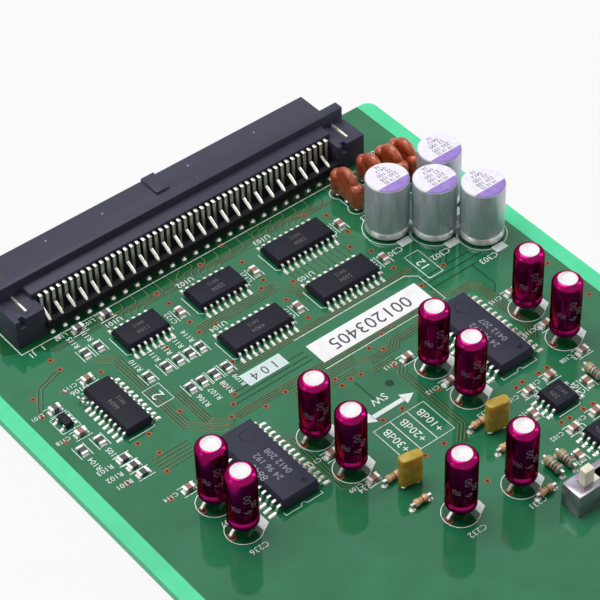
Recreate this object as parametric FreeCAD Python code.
import FreeCAD, Part
import math
import os

# Analogue-to-digital converter card: a green circuit board with a right-angle connector along its
# back edge, surface-mounted chips, radial capacitors and a small slide switch.
#
# +X runs along the connector, +Y points out of its mating face and +Z is up.  The card lies on the
# tips of its longest soldered legs, with the origin under the middle of its outline.  Places along Y
# are distances from the board's back edge, where the connector is.

V = FreeCAD.Vector

# Board and soldered leads
board_width = 99.0
board_length = 117.5         # back edge to front edge
board_thickness = 1.6
board_corner_radius = 2.0
leg_drop = 1.8               # longest legs below the board, which the card lies on
lead_drop = 1.5              # trimmed leads below the board
hole_clearance = 0.05        # each side of a lead in its hole

# Connector housing, heights measured from the board's top face
contact_count = 50
contact_pitch = 1.27
contact_width = 0.6
contact_thickness = 0.3
mating_overhang = 0.5        # mating face beyond the board's back edge
shroud_depth = 5.3
shroud_side_wall = 1.6
shroud_height = 9.0
shroud_roof = 1.2
shroud_floor = 1.4
cavity_depth = 4.7
cavity_end_room = 1.1        # beyond the outer contacts
flange_thickness = 1.9
flange_reach = 3.75          # each end beyond the shroud
body_depth = 2.6
body_height = 7.2
body_end_wall = 1.0
slit_end_room = 0.5
slit_clearance = 0.05
tongue_setback = 0.7
tongue_bottom = 3.2
tongue_thickness = 3.15
contact_setback = 1.0
contact_root = 1.7           # lower contacts held in the housing behind the cavity
ear_width = 6.0
ear_reach = 0.4              # beyond the flange
ear_depth = 5.7
ear_height = 6.0
ear_notch_width = 1.0
ear_notch_depth = 0.9
ear_notch_height = 2.0
ear_notch_offset = 1.5
key_width = 2.8
key_length = 4.9
key_height = 0.6
key_offset = -1.0

# Connector contacts, locator and hold-downs
blade_gap = 0.7              # blades in front of the housing
tail_step = 2.4              # front tail row ahead of the blades
tail_bend_high = 3.85
tail_bend_low = 2.45
locator_depth = 1.3
locator_bottom = 1.2
locator_height = 1.8
locator_lip = 0.65           # locator in front of the tails
notch_clearance = 0.05
hold_down_thickness = 0.4
hold_down_length = 4.5
hold_down_stand = 0.5        # above the ear
hold_down_leg = 1.0
hold_down_clearance = 0.1

# Gull-wing packages
chip_pitch = 1.27
lead_width = 0.42
lead_thickness = 0.2
lead_foot = 0.65
body_stand = 0.1
body_draft = 0.3
sop_width = 5.3
sop_height = 1.8
sop_end = 0.6                # body beyond the last lead
sop_span = 8.2
op_amp_width = 5.0
op_amp_span = 7.5
converter_width = 7.4
converter_height = 2.5
converter_end = 0.7
converter_span = 11.8
regulator_pitch = 0.95
regulator_width = 1.6
regulator_height = 1.1
regulator_end = 0.5
regulator_span = 2.8
regulator_draft = 0.1
regulator_lead_foot = 0.35

# Radial capacitors and filters
polymer_radius = 4.0
polymer_height = 11.7
polymer_stand = 0.3
polymer_lead_pitch = 3.5
electrolytic_radius = 2.65
electrolytic_height = 11.4
electrolytic_stand = 2.4
electrolytic_lead_pitch = 2.0
electrolytic_hole_pitch = 5.0
electrolytic_bend = 0.5
radial_lead = 0.5
film_length = 4.2
film_depth = 2.0
film_height = 6.0
film_stand = 0.6
film_edge = 0.5
film_turn = -11.0
film_lead_pitch = 2.5
filter_lobe_radius = 1.35
filter_height = 5.0
filter_waist = 1.9
filter_disc_radius = 2.9
filter_disc_height = 7.0
filter_stand = 0.5
filter_pitch = 2.65
filter_facets = 10

# Axial resistors
resistor_radius = 0.9
resistor_length = 3.3
tan_radius = 0.65
tan_length = 2.6
tan_bevel = 0.35
resistor_stand = 0.25
axial_lead = 0.45
axial_lead_reach = 0.5

# Chip parts
chip_length = 2.0
chip_width = 1.25
resistor_chip_height = 0.55
capacitor_chip_height = 0.9
inductor_length = 2.0
inductor_width = 1.25
inductor_height = 1.0

# Slide switch
switch_length = 10.5
switch_width = 4.2
switch_height = 4.7
switch_x = 13.6
switch_metal = 0.3
switch_travel = 4.0
switch_base_height = 2.3
switch_clearance = 0.15
slider_length = 5.0
knob_length = 2.0
knob_width = 1.5
knob_rise = 3.0
switch_pin = 0.6
switch_pin_pitch = 3.0
switch_pin_row = 2.4

# Paper labels
label_thickness = 0.1
serial_label_size = (24.0, 5.0)
revision_label_size = (8.3, 3.0)

# Steps from the connector's front tails to each row of parts, and from row to row
logic_gap = 10.4             # first row of logic chips
second_row_step = 12.4       # second row of logic chips
label_step = 10.5            # serial label
converter_step = 15.2        # converters
op_amp_step = 18.7           # first op-amp and film capacitors
front_row_step = 10.8        # second op-amp and last capacitors
switch_step = 8.0            # slide switch

# Values that follow from the sizes above
row_half = (contact_count - 1) * contact_pitch / 2
cavity_half = row_half + cavity_end_room
slit_half = row_half + slit_end_room
shroud_half = cavity_half + shroud_side_wall
flange_half = shroud_half + flange_reach
body_half = slit_half + body_end_wall
flange_back = shroud_depth - mating_overhang
flange_front = flange_back + flange_thickness
body_front = flange_front + body_depth
cavity_back = cavity_depth - mating_overhang
ear_outer = flange_half + ear_reach
ear_x = ear_outer - ear_width / 2
ear_front = flange_front + ear_depth
tongue_top = tongue_bottom + tongue_thickness
blade_plane = body_front + blade_gap
front_tail = blade_plane + tail_step
root_end = cavity_back + contact_root
locator_front = front_tail + locator_lip
contact_end = contact_setback - mating_overhang
first_row = front_tail + logic_gap
second_row = first_row + second_row_step
label_row = second_row + label_step
converter_row = label_row + converter_step
op_amp_row = converter_row + op_amp_step
front_row = op_amp_row + front_row_step
switch_from_back = front_row + switch_step
back_edge = (board_length - mating_overhang) / 2
underside = leg_drop
top = underside + board_thickness
trimmed_tip = underside - lead_drop

# Places on the board, as x and distance from the back edge
logic_pin_counts = [14, 16, 20, 20, 20, 20]
logic_places = [
    (-19.9, first_row, "x"), (-4.0, first_row, "x"), (14.1, first_row, "x"),
    (-4.9, second_row, "x"), (14.2, second_row, "x"), (-33.3, second_row - 0.5, "y"),
]
converter_places = [(23.4, converter_row), (-22.7, converter_row)]
op_amp_places = [(23.4, op_amp_row), (23.4, front_row)]
regulator_place = (-41.7, second_row - 3.7)
polymer_places = [
    (29.2, second_row - 5.9), (35.3, second_row - 0.3), (41.0, second_row + 5.9), (41.2, second_row - 5.9),
]
electrolytic_places = [
    (34.0, converter_row - 0.5), (34.1, converter_row + 8.7), (13.0, converter_row - 0.5),
    (13.0, converter_row + 8.6), (-12.3, converter_row - 0.5), (-12.2, converter_row + 8.6),
    (-33.4, converter_row + 0.2), (-33.3, converter_row + 7.6), (6.2, front_row - 1.0),
    (-5.0, front_row - 2.7),
]
film_places = [(11.4, op_amp_row - 1.7), (-7.0, op_amp_row - 1.7)]
filter_places = [
    (28.4, front_tail + 6.8), (34.3, front_tail + 6.8), (38.5, front_tail + 7.1), (41.5, front_tail + 7.2),
]
banded_places = [(14.9, front_row + 0.2), (12.4, front_row - 0.1), (31.7, op_amp_row - 0.3)]
tan_places = [
    (9.5, op_amp_row - 4.0), (9.6, op_amp_row + 2.6), (-8.7, op_amp_row - 4.0), (-8.6, op_amp_row + 2.7),
    (8.0, front_row + 3.0),
]
chip_resistor_places = (
    [(x, second_row - 3.3, "y") for x in (-14.2, -16.5, -18.9, -21.4, -25.1)]
    + [(x, second_row + 3.3, "y") for x in (-13.7, -16.3, -18.8, -21.2, -39.7, -43.2)]
    + [(x, front_tail + 8.2, "y") for x in (-30.0, -27.3)]
    + [(-39.0, second_row + 9.0, "x"), (-38.7, second_row + 11.3, "x"), (-38.4, second_row + 13.5, "x")]
)
chip_capacitor_places = [
    (-11.9, first_row + 0.2, "y"), (4.1, first_row + 0.4, "y"), (23.1, first_row + 0.6, "y"),
    (-33.3, second_row - 9.4, "x"), (4.3, second_row - 0.1, "y"), (23.4, second_row, "y"),
    (-41.1, second_row - 0.1, "x"), (10.7, converter_row - 4.6, "x"), (12.4, converter_row + 4.2, "x"),
    (33.7, converter_row + 4.5, "x"), (34.5, converter_row - 5.0, "x"), (-34.9, converter_row - 4.7, "x"),
    (-12.8, converter_row + 4.2, "x"), (34.2, op_amp_row - 5.6, "x"), (26.0, op_amp_row - 4.8, "x"),
    (20.9, op_amp_row - 4.4, "x"), (-11.1, op_amp_row - 6.0, "x"), (29.8, op_amp_row + 0.2, "y"),
    (18.0, op_amp_row - 0.1, "y"), (17.4, front_row + 0.6, "y"), (20.9, front_row - 4.4, "x"),
    (26.2, front_row - 4.8, "x"),
]
chip_inductor_places = [(-22.0, front_tail + 2.8), (-27.6, front_tail + 2.6), (-41.4, second_row - 7.1)]
serial_label_place = (11.5, label_row)
revision_label_place = (-9.2, label_row - 2.7)

os.makedirs("parts", exist_ok=True)
holes = []


def save(name, solids):
    """Write one node: a single solid, or a group of separate like solids."""
    shape = solids[0] if len(solids) == 1 else Part.makeCompound(solids)
    shape.exportStep("parts/" + name + ".step")


def y_at(from_back):
    return back_edge - from_back


def box(x0, x1, y0, y1, z0, z1):
    return Part.makeBox(x1 - x0, y1 - y0, z1 - z0, V(x0, y0, z0))


def slab(half, back, front, low, high):
    """A block across the connector, between two distances from the back edge and two heights."""
    return box(-half, half, y_at(front), y_at(back), top + low, top + high)


def centred(x, from_back, length, depth, low, high):
    """A block centred on a place, between two heights over the board."""
    y = y_at(from_back)
    return box(x - length / 2, x + length / 2, y - depth / 2, y + depth / 2, top + low, top + high)


def strip_outline(path, thickness):
    """Both edges of a bent strip that follows a path of points, with mitred bends."""
    left = []
    right = []
    for i, (u, h) in enumerate(path):
        before = path[max(i - 1, 0)]
        after = path[min(i + 1, len(path) - 1)]
        first = V(u - before[0], h - before[1], 0)
        second = V(after[0] - u, after[1] - h, 0)
        first = second if first.Length == 0 else first
        second = first if second.Length == 0 else second
        first.normalize()
        second.normalize()
        middle = first + second
        middle.normalize()
        normal = V(-middle.y, middle.x, 0)
        reach = thickness / 2 / (normal.x * -first.y + normal.y * first.x)
        left.append((u + normal.x * reach, h + normal.y * reach))
        right.append((u - normal.x * reach, h - normal.y * reach))
    return left + right[::-1]


def across_x(outline, x, width):
    """A solid whose outline of y and z points runs through width along X, centred on x."""
    points = [V(x - width / 2, y, z) for y, z in outline]
    return Part.Face(Part.makePolygon(points + points[:1])).extrude(V(width, 0, 0))


def across_y(outline, y, width):
    """A solid whose outline of x and z points runs through width along Y, centred on y."""
    points = [V(x, y - width / 2, z) for x, z in outline]
    return Part.Face(Part.makePolygon(points + points[:1])).extrude(V(0, width, 0))


def turned(profile, x, y):
    """A solid of revolution about the upright line at x, y from a profile of radius and height."""
    points = [V(x + r, y, top + h) for r, h in profile]
    return Part.Face(Part.makePolygon(points + points[:1])).revolve(V(x, y, 0), V(0, 0, 1), 360)


def drill(x, y, size_x, size_y):
    """Note a hole for a lead, with its clearance on each side."""
    holes.append((x, y, size_x / 2 + hole_clearance, size_y / 2 + hole_clearance))


def hole_outline(x, y, half_x, half_y):
    corners = [(-1, -1), (1, -1), (1, 1), (-1, 1), (-1, -1)]
    return Part.makePolygon([V(x + a * half_x, y + b * half_y, underside) for a, b in corners])


def rounded_board():
    """The board's outline with round corners, pierced by every lead's hole."""
    flat = box(-board_width / 2, board_width / 2, y_at(board_length), back_edge, underside, top)
    upright = [e for e in flat.Edges if abs(e.Vertexes[0].Z - e.Vertexes[1].Z) > board_thickness / 2]
    rounded = flat.makeFillet(board_corner_radius, upright)
    outline = [f for f in rounded.Faces if f.normalAt(0, 0).z < -0.9][0].OuterWire
    pierced = Part.Face([outline] + [hole_outline(*h) for h in holes])
    return pierced.extrude(V(0, 0, board_thickness))


def connector_housing():
    """Moulded shroud, flange, contact body and two ears, with the tongue inside the mating cavity."""
    shroud = slab(shroud_half, -mating_overhang, flange_back, 0, shroud_height)
    flange = slab(flange_half, flange_back, flange_front, 0, shroud_height)
    body = slab(body_half, flange_front, body_front, 0, body_height)
    key = box(key_offset - key_width / 2, key_offset + key_width / 2, y_at(key_length - mating_overhang),
              y_at(-mating_overhang), top + shroud_height, top + shroud_height + key_height)
    ears = []
    for side in (-1, 1):
        ear = centred(side * ear_x, (flange_front + ear_front) / 2, ear_width, ear_depth, 0, ear_height)
        slot = centred(side * ear_x, flange_front + hold_down_clearance + hold_down_length / 2,
                       hold_down_thickness + 2 * hold_down_clearance,
                       hold_down_length + 2 * hold_down_clearance, 0, ear_height)
        notch = centred(side * ear_x - ear_notch_offset, ear_front - ear_notch_depth / 2,
                        ear_notch_width, ear_notch_depth, ear_height - ear_notch_height, ear_height)
        ears.append(ear.cut(slot).cut(notch))
    cavity = slab(cavity_half, -mating_overhang, cavity_back, shroud_floor, shroud_height - shroud_roof)
    tongue = slab(slit_half, tongue_setback - mating_overhang, cavity_back, tongue_bottom, tongue_top)
    upper_slit = slab(slit_half, cavity_back, body_front, tongue_top,
                      tongue_top + contact_thickness + slit_clearance)
    lower_slit = slab(slit_half, cavity_back, root_end,
                      tongue_bottom - contact_thickness - slit_clearance, tongue_bottom)
    shell = shroud.multiFuse([flange, body, key] + ears)
    shell = shell.cut(Part.makeCompound([cavity, upper_slit, lower_slit]))
    return shell.fuse(tongue).removeSplitter()


def connector_contacts():
    """Flat strips on both faces of the tongue; the upper ones bend down into two rows of tails."""
    upper = tongue_top + contact_thickness / 2
    lower = tongue_bottom - contact_thickness / 2
    tip = trimmed_tip - top
    routes = {
        "front": [(contact_end, upper), (blade_plane, upper), (blade_plane, tail_bend_high),
                  (front_tail, tail_bend_low), (front_tail, tip)],
        "rear": [(contact_end, upper), (blade_plane, upper), (blade_plane, tip)],
        "lower": [(contact_end, lower), (root_end, lower)],
    }
    made = {name: [] for name in routes}
    for i in range(contact_count):
        x = i * contact_pitch - row_half
        for name in (("front", "lower"), ("rear", "lower"))[i % 2]:
            path = [(y_at(d), top + h) for d, h in routes[name]]
            made[name].append(across_x(strip_outline(path, contact_thickness), x, contact_width))
            if name != "lower":
                drill(x, path[-1][0], contact_width, contact_thickness)
    for name in made:
        save("connector_" + name + "_contacts", made[name])


def connector_locator():
    """Bar between the ears that keeps the front tails on their pitch, each in a notch of its rear face."""
    half = ear_x - ear_width / 2
    bar = slab(half, locator_front - locator_depth, locator_front, locator_bottom,
               locator_bottom + locator_height)
    notches = []
    for i in range(0, contact_count, 2):
        x = i * contact_pitch - row_half
        reach = contact_width / 2 + notch_clearance
        notches.append(box(x - reach, x + reach,
                           y_at(front_tail + contact_thickness / 2 + notch_clearance),
                           y_at(locator_front - locator_depth),
                           top + locator_bottom, top + locator_bottom + locator_height))
    return bar.cut(Part.makeCompound(notches))


def hold_downs():
    """Metal plates that stand in the ears' slots, each with two legs through the board."""
    start = flange_front + hold_down_clearance
    end = start + hold_down_length
    legs = [(start, start + hold_down_leg), (end - hold_down_leg, end)]
    outline = [(start, ear_height + hold_down_stand), (start, -top), (legs[0][1], -top), (legs[0][1], 0),
               (legs[1][0], 0), (legs[1][0], -top), (end, -top), (end, ear_height + hold_down_stand)]
    plates = []
    for side in (-1, 1):
        plates.append(across_x([(y_at(d), top + h) for d, h in outline], side * ear_x, hold_down_thickness))
        for near, far in legs:
            drill(side * ear_x, y_at((near + far) / 2), hold_down_thickness, hold_down_leg)
    return plates


def moulded_body(length, width, height, draft):
    """A chip package at the origin, tapered up and down from the band that its leads come out of."""
    middle = body_stand + height / 2
    rings = []
    for inset, h in ((draft, body_stand), (0, middle - lead_thickness / 2),
                     (0, middle + lead_thickness / 2), (draft, body_stand + height)):
        x = length / 2 - inset
        y = width / 2 - inset
        corners = [V(-x, -y, h), V(x, -y, h), V(x, y, h), V(-x, y, h), V(-x, -y, h)]
        rings.append(Part.makePolygon(corners))
    return Part.makeLoft(rings, True, True)


def gull_wing_row(count, pitch, width, height, span, foot):
    """One side's leads at the origin: down from the body's band to a flat foot on the board."""
    middle = body_stand + height / 2
    outline = [(-width / 2, middle + lead_thickness / 2), (-width / 2, middle - lead_thickness / 2),
               (-span / 2 + foot, 0), (-span / 2, 0), (-span / 2, lead_thickness)]
    return [across_x(outline, (i - (count - 1) / 2) * pitch, lead_width) for i in range(count)]


def seat(shapes, x, from_back, row_axis):
    """Move package shapes from the origin to their place, with the lead rows along the given axis."""
    placed = []
    for shape in shapes:
        moved = shape.copy()
        if row_axis == "y":
            moved.rotate(V(0, 0, 0), V(0, 0, 1), 90)
        moved.translate(V(x, y_at(from_back), top))
        placed.append(moved)
    return placed


def both_sides(row):
    """A row of leads and its opposite number on the package's other side."""
    opposite = []
    for lead in row:
        turned_lead = lead.copy()
        turned_lead.rotate(V(0, 0, 0), V(0, 0, 1), 180)
        opposite.append(turned_lead)
    return row + opposite


def logic_chips():
    leads = []
    for number, (pins, place) in enumerate(zip(logic_pin_counts, logic_places), 1):
        length = (pins // 2 - 1) * chip_pitch + 2 * sop_end
        body = moulded_body(length, sop_width, sop_height, body_draft)
        save("logic_ic_%d" % number, seat([body], *place))
        row = gull_wing_row(pins // 2, chip_pitch, sop_width, sop_height, sop_span, lead_foot)
        leads += seat(both_sides(row), *place)
    save("logic_ic_leads", leads)


def converter_chips():
    pins_a_side = 14
    length = (pins_a_side - 1) * chip_pitch + 2 * converter_end
    body = moulded_body(length, converter_width, converter_height, body_draft)
    row = gull_wing_row(pins_a_side, chip_pitch, converter_width, converter_height, converter_span,
                        lead_foot)
    leads = []
    for number, (x, from_back) in enumerate(converter_places, 1):
        save("converter_%d" % number, seat([body], x, from_back, "y"))
        leads += seat(both_sides(row), x, from_back, "y")
    save("converter_leads", leads)


def op_amps():
    pins_a_side = 4
    length = (pins_a_side - 1) * chip_pitch + 2 * sop_end
    body = moulded_body(length, op_amp_width, sop_height, body_draft)
    row = gull_wing_row(pins_a_side, chip_pitch, op_amp_width, sop_height, op_amp_span, lead_foot)
    leads = []
    for number, (x, from_back) in enumerate(op_amp_places, 1):
        save("op_amp_%d" % number, seat([body], x, from_back, "y"))
        leads += seat(both_sides(row), x, from_back, "y")
    save("op_amp_leads", leads)


def regulator():
    """Small five-lead regulator: three leads on one side and the outer two on the other."""
    length = 2 * regulator_pitch + 2 * regulator_end
    body = moulded_body(length, regulator_width, regulator_height, regulator_draft)
    row = gull_wing_row(3, regulator_pitch, regulator_width, regulator_height, regulator_span,
                        regulator_lead_foot)
    pair = both_sides([row[0], row[2]])[2:]
    save("regulator", seat([body], *regulator_place, "y"))
    save("regulator_leads", seat(row + pair, *regulator_place, "y"))


def straight_lead(x, y, start):
    """A square lead from a height over the board down through it."""
    half = radial_lead / 2
    drill(x, y, radial_lead, radial_lead)
    return box(x - half, x + half, y - half, y + half, trimmed_tip, top + start)


def polymer_capacitors():
    """Bare aluminium cans just off the board."""
    tall = polymer_stand + polymer_height
    profile = [(0, polymer_stand), (polymer_radius, polymer_stand), (polymer_radius, tall), (0, tall)]
    leads = []
    for number, (x, from_back) in enumerate(polymer_places, 1):
        y = y_at(from_back)
        save("polymer_capacitor_%d" % number, [turned(profile, x, y)])
        for side in (-1, 1):
            leads.append(straight_lead(x, y + side * polymer_lead_pitch / 2, polymer_stand))
    save("polymer_capacitor_leads", leads)


def electrolytic_capacitors():
    """Sleeved cans that stand off the board on leads spread to a wider pair of holes."""
    tall = electrolytic_stand + electrolytic_height
    profile = [(0, electrolytic_stand), (electrolytic_radius, electrolytic_stand),
               (electrolytic_radius, tall), (0, tall)]
    cans = []
    leads = []
    for x, from_back in electrolytic_places:
        y = y_at(from_back)
        cans.append(turned(profile, x, y))
        for side in (-1, 1):
            hole_x = x + side * electrolytic_hole_pitch / 2
            path = [(x + side * electrolytic_lead_pitch / 2, top + electrolytic_stand),
                    (hole_x, top + electrolytic_bend), (hole_x, trimmed_tip)]
            lead = across_y(strip_outline(path, radial_lead), y, radial_lead)
            ceiling = box(x - electrolytic_radius, x + electrolytic_radius, y - radial_lead, y + radial_lead,
                          top + electrolytic_stand, top + tall)
            leads.append(lead.cut(ceiling))
            drill(hole_x, y, radial_lead, radial_lead)
    save("electrolytic_capacitors", cans)
    save("electrolytic_capacitor_leads", leads)


def film_capacitors():
    """Dipped film capacitors: flat blocks with bevelled upright edges, turned a little on the board."""
    leads = []
    for number, (x, from_back) in enumerate(film_places, 1):
        block = centred(x, from_back, film_length, film_depth, film_stand, film_stand + film_height)
        upright = [e for e in block.Edges if abs(e.Vertexes[0].Z - e.Vertexes[1].Z) > film_height / 2]
        block = block.makeChamfer(film_edge, upright)
        y = y_at(from_back)
        block.rotate(V(x, y, 0), V(0, 0, 1), film_turn)
        save("film_capacitor_%d" % number, [block])
        for side in (-1, 1):
            reach = side * film_lead_pitch / 2
            turn = math.radians(film_turn)
            leads.append(straight_lead(x + reach * math.cos(turn), y + reach * math.sin(turn), film_stand))
    save("film_capacitor_leads", leads)


def noise_filters():
    """Three-lead filters: two beads and a taller disc between them, under one dipped coat."""
    low = top + filter_stand
    opening = math.asin(filter_waist / 2 / filter_lobe_radius)
    turn = 2 * (math.pi - opening) / filter_facets
    disc_middle = low + filter_disc_height - filter_disc_radius
    filters = []
    leads = []
    for x, from_back in filter_places:
        y = y_at(from_back)
        outline = []
        for side in (1, -1):
            for i in range(filter_facets + 1):
                across = filter_lobe_radius * math.sin(opening + i * turn)
                along = filter_pitch - filter_lobe_radius * math.cos(opening + i * turn)
                outline.append(V(x + side * across, y + side * along, low))
        beads = Part.Face(Part.makePolygon(outline + outline[:1])).extrude(V(0, 0, filter_height))
        rim = []
        for i in range(2 * filter_facets):
            angle = (i + 0.5) * math.pi / filter_facets
            rim.append((y + filter_disc_radius * math.cos(angle),
                        disc_middle + filter_disc_radius * math.sin(angle)))
        filters.append(beads.fuse(across_x(rim, x, filter_waist)).removeSplitter())
        for place in (-1, 0, 1):
            leads.append(straight_lead(x, y + place * filter_pitch, filter_stand))
    save("noise_filters", filters)
    save("noise_filter_leads", leads)


def axial_lead_pair(x, y, axis, length, height):
    """Leads from both ends of a lying resistor, bent down into the board."""
    pair = []
    for side in (-1, 1):
        start = side * length / 2
        bend = side * (length / 2 + axial_lead_reach)
        path = [(start, top + height), (bend, top + height), (bend, trimmed_tip)]
        if axis == "x":
            outline = strip_outline([(x + u, h) for u, h in path], axial_lead)
            pair.append(across_y(outline, y, axial_lead))
            drill(x + bend, y, axial_lead, axial_lead)
        else:
            outline = strip_outline([(y + u, h) for u, h in path], axial_lead)
            pair.append(across_x(outline, x, axial_lead))
            drill(x, y + bend, axial_lead, axial_lead)
    return pair


def axial_resistors():
    """Resistors that lie on the board: banded ones along the card, plain tan ones across it."""
    bodies = []
    leads = []
    height = resistor_stand + resistor_radius
    for x, from_back in banded_places:
        y = y_at(from_back)
        body = Part.makeCylinder(resistor_radius, resistor_length,
                                 V(x, y - resistor_length / 2, top + height), V(0, 1, 0))
        bodies.append(body)
        leads += axial_lead_pair(x, y, "y", resistor_length, height)
    save("banded_resistors", bodies)
    save("banded_resistor_leads", leads)
    bodies = []
    leads = []
    height = resistor_stand + tan_radius
    for x, from_back in tan_places:
        y = y_at(from_back)
        bar = box(x - tan_length / 2, x + tan_length / 2, y - tan_radius, y + tan_radius,
                  top + resistor_stand, top + height + tan_radius)
        along = [e for e in bar.Edges if abs(e.Vertexes[0].X - e.Vertexes[1].X) > tan_length / 2]
        bodies.append(bar.makeChamfer(tan_bevel, along))
        leads += axial_lead_pair(x, y, "x", tan_length, height)
    save("tan_resistors", bodies)
    save("tan_resistor_leads", leads)


def chip_block(x, from_back, axis, length, width, height):
    size = (length, width) if axis == "x" else (width, length)
    return centred(x, from_back, size[0], size[1], 0, height)


def chip_parts():
    save("chip_resistors", [chip_block(*place, chip_length, chip_width, resistor_chip_height)
                            for place in chip_resistor_places])
    save("chip_capacitors", [chip_block(*place, chip_length, chip_width, capacitor_chip_height)
                             for place in chip_capacitor_places])
    save("chip_inductors", [chip_block(x, d, "x", inductor_length, inductor_width, inductor_height)
                            for x, d in chip_inductor_places])


def slide_switch():
    """Two-position slide switch: base with six pins, slotted metal cover, and the slider in between."""
    d = switch_from_back
    rest_x = switch_x - switch_travel / 2
    inner_top = switch_height - switch_metal
    inside = switch_width - 2 * switch_metal
    inside_length = switch_length - 2 * switch_metal
    cover = centred(switch_x, d, switch_length, switch_width, 0, switch_height)
    cover = cover.cut(centred(switch_x, d, inside_length, inside, 0, inner_top))
    slot_length = switch_travel + knob_length + 2 * switch_clearance
    slot = centred(switch_x, d, slot_length, knob_width + 2 * switch_clearance, inner_top, switch_height)
    save("switch_cover", [cover.cut(slot)])
    base = centred(switch_x, d, inside_length, inside, 0, switch_base_height)
    save("switch_base", [base])
    slider = centred(rest_x, d, slider_length, inside - 2 * switch_clearance,
                     switch_base_height + switch_clearance, inner_top - switch_clearance)
    knob = centred(rest_x, d, knob_length, knob_width, inner_top - switch_clearance,
                   switch_height + knob_rise)
    save("switch_slider", [slider.fuse(knob).removeSplitter()])
    pins = []
    for i in (-1, 0, 1):
        for side in (-1, 1):
            x = switch_x + i * switch_pin_pitch
            y = y_at(d) + side * switch_pin_row / 2
            half = switch_pin / 2
            pins.append(box(x - half, x + half, y - half, y + half, 0, top))
            drill(x, y, switch_pin, switch_pin)
    save("switch_pins", pins)


def labels():
    for name, place, size in (("serial_label", serial_label_place, serial_label_size),
                              ("revision_label", revision_label_place, revision_label_size)):
        save(name, [centred(*place, *size, 0, label_thickness)])


save("connector_housing", [connector_housing()])
connector_contacts()
save("connector_locator", [connector_locator()])
save("connector_hold_downs", hold_downs())
logic_chips()
converter_chips()
op_amps()
regulator()
polymer_capacitors()
electrolytic_capacitors()
film_capacitors()
noise_filters()
axial_resistors()
chip_parts()
slide_switch()
labels()
save("circuit_board", [rounded_board()])
